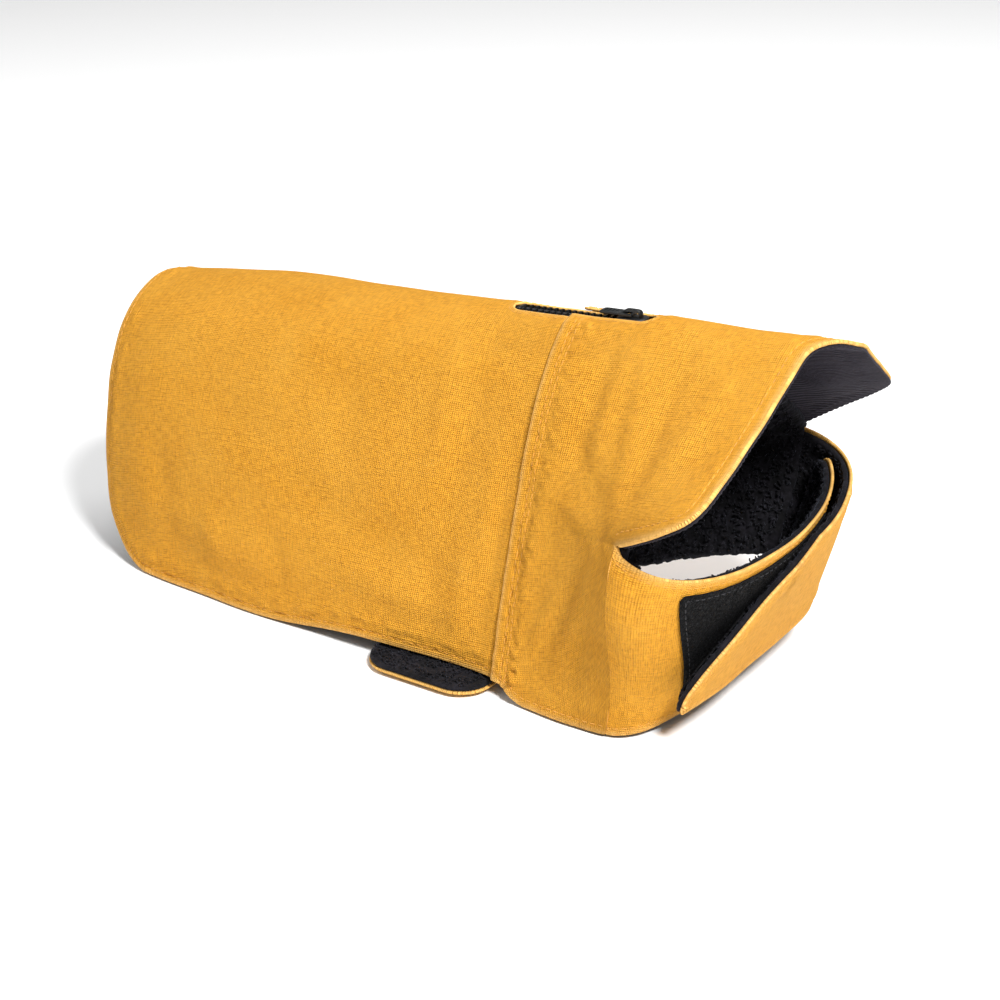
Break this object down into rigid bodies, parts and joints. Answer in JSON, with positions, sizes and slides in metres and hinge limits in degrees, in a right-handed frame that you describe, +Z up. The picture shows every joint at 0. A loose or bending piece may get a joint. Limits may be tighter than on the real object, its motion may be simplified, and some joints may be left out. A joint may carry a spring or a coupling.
{
  "type": "dog coat",
  "caption": "Small dog coat in duck cloth with pile lining, stand collar, zipped leash slot on the spine, wrap-over chest straps and a belly strap.",
  "frame": {"origin": "on the floor under the middle of the coat as it stands", "axes": "+X to the neck along the spine, +Y to the dog's left, +Z up"},
  "size_m": [0.3501, 0.1695, 0.1593],
  "materials": {
    "duck": "mustard cotton duck, washed and napped",
    "pile_lining": "black curled pile",
    "corduroy": "black cotton corduroy, 16 wales to the inch",
    "loop_tape": "black napped nylon loop",
    "hook_tape": "black woven nylon hook",
    "zip_tape": "black woven polyester tape",
    "moulded_zip": "black moulded acetal",
    "zip_slider": "black enamelled, half gloss"
  },
  "bodies": {
    "coat": {"back_shell": "duck", "yoke_shell": "duck", "back_lining": "pile_lining", "yoke_lining": "pile_lining", "collar_facing": "corduroy", "slot_facing": "zip_tape", "belly_loop_patch": "loop_tape", "zip_tape_right": "zip_tape", "zip_tape_left": "zip_tape", "zip_teeth_right": "moulded_zip", "zip_teeth_left": "moulded_zip", "zip_top_stop": "moulded_zip", "zip_bottom_stop": "moulded_zip"},
    "right_chest_strap": {"right_strap_shell": "duck", "right_strap_lining": "pile_lining", "right_strap_loop_patch": "loop_tape"},
    "left_chest_strap": {"left_strap_shell": "duck", "left_strap_lining": "pile_lining", "left_strap_hook_patch": "hook_tape"},
    "belly_strap": {"belly_strap_shell": "duck", "belly_strap_lining": "pile_lining", "belly_strap_hook_patch": "hook_tape"},
    "zip_slider": {"slider_body": "zip_slider", "slider_crown": "zip_slider"},
    "zip_pull": {"pull_tab": "zip_slider"}
  },
  "joints": [
    {"name": "left_chest_strap_open", "type": "hinge", "parent": "coat", "child": "left_chest_strap", "pos_m": [0.1124, 0.079, 0.044], "axis": [0.0898, 0.0814, 0.9926], "range_deg": [0, 105]},
    {"name": "right_chest_strap_open", "type": "hinge", "parent": "coat", "child": "right_chest_strap", "pos_m": [0.1124, -0.078, 0.044], "axis": [-0.0898, 0.0814, -0.9926], "range_deg": [0, 37]},
    {"name": "belly_strap_swing", "type": "hinge", "parent": "coat", "child": "belly_strap", "pos_m": [0.019, 0.062, 0.0024], "axis": [1, 0, 0], "range_deg": [0, 180]},
    {"name": "zip_slide", "type": "slide", "parent": "coat", "child": "zip_slider", "axis": [-0.9971, 0, -0.076], "range_m": [0, 0.045]},
    {"name": "pull_flip", "type": "hinge", "parent": "zip_slider", "child": "zip_pull", "pos_m": [0.07603, 0, 0.15247], "axis": [0, 1, 0], "range_deg": [0, 150]}
  ],
  "couplings": [
    {"joint": "right_chest_strap_open", "follows": "left_chest_strap_open", "ratio": 0.35}
  ]
}
